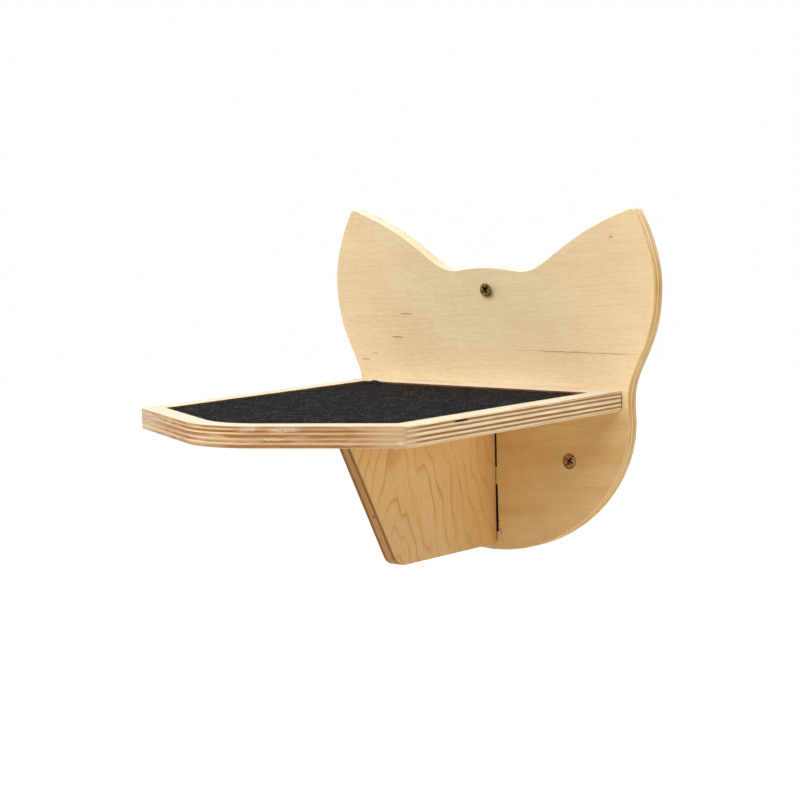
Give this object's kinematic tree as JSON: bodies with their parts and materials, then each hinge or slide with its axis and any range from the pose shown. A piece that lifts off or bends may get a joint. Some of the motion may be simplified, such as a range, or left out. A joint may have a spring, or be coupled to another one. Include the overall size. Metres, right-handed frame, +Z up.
{
  "type": "cat step",
  "caption": "Wall-mounted cat step: a plywood shelf with a carpet inlay on an eared back plate and a slanted bracket, held by countersunk wood screws.",
  "frame": {"origin": "on the back plate's rear face, in the wall plane, on the plate's middle line and level with the top of the shelf's rim", "axes": "+X to the step's right as seen from the room, +Y into the wall, +Z up; the shelf stands out along -Y"},
  "size_m": [0.242, 0.2955, 0.2094],
  "materials": {
    "birch_plywood": "satin clear lacquer",
    "carpet": "short needle-felt pile",
    "adhesive_film": "matt",
    "bronzed_steel": "dull yellow-bronze plating"
  },
  "bodies": {
    "root": {"back_plate": "birch_plywood", "shelf_board": "birch_plywood", "bracket": "birch_plywood", "carpet_pad": "carpet", "pad_adhesive": "adhesive_film", "upper_wall_screw": "bronzed_steel", "lower_left_wall_screw": "bronzed_steel", "lower_right_wall_screw": "bronzed_steel"}
  },
  "joints": []
}
